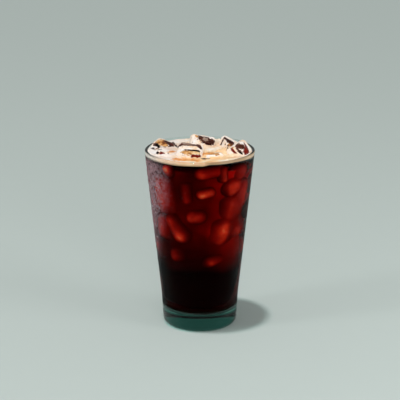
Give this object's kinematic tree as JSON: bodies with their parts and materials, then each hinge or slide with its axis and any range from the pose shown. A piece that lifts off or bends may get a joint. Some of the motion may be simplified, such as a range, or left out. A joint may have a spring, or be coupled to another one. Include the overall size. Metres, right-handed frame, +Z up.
{
  "type": "iced americano",
  "caption": "Tall tapered clear glass with a thick base, filled almost to the brim with iced black coffee, a thin pale foam layer and rounded ice cubes standing out of it.",
  "frame": {"origin": "middle of the foot, on the surface that the glass stands on", "axes": "+Z up through the rim, -Y towards the viewer of the picture, +X to the viewer's right"},
  "size_m": [0.0888, 0.0888, 0.1547],
  "materials": {
    "glass": "clear, faintly green glass, misted with droplets on one side",
    "coffee": "very dark red brown liquid with red glows of sunken ice",
    "foam": "cream coffee foam with fine bubbles",
    "ice": "wet, clear ice with rounded edges"
  },
  "bodies": {
    "root": {"glass": "glass", "coffee": "coffee", "foam": "foam", "ice_left": "ice", "ice_left_front": "ice", "ice_center": "ice", "ice_back": "ice", "ice_peak": "ice", "ice_right": "ice", "ice_front": "ice"}
  },
  "joints": []
}
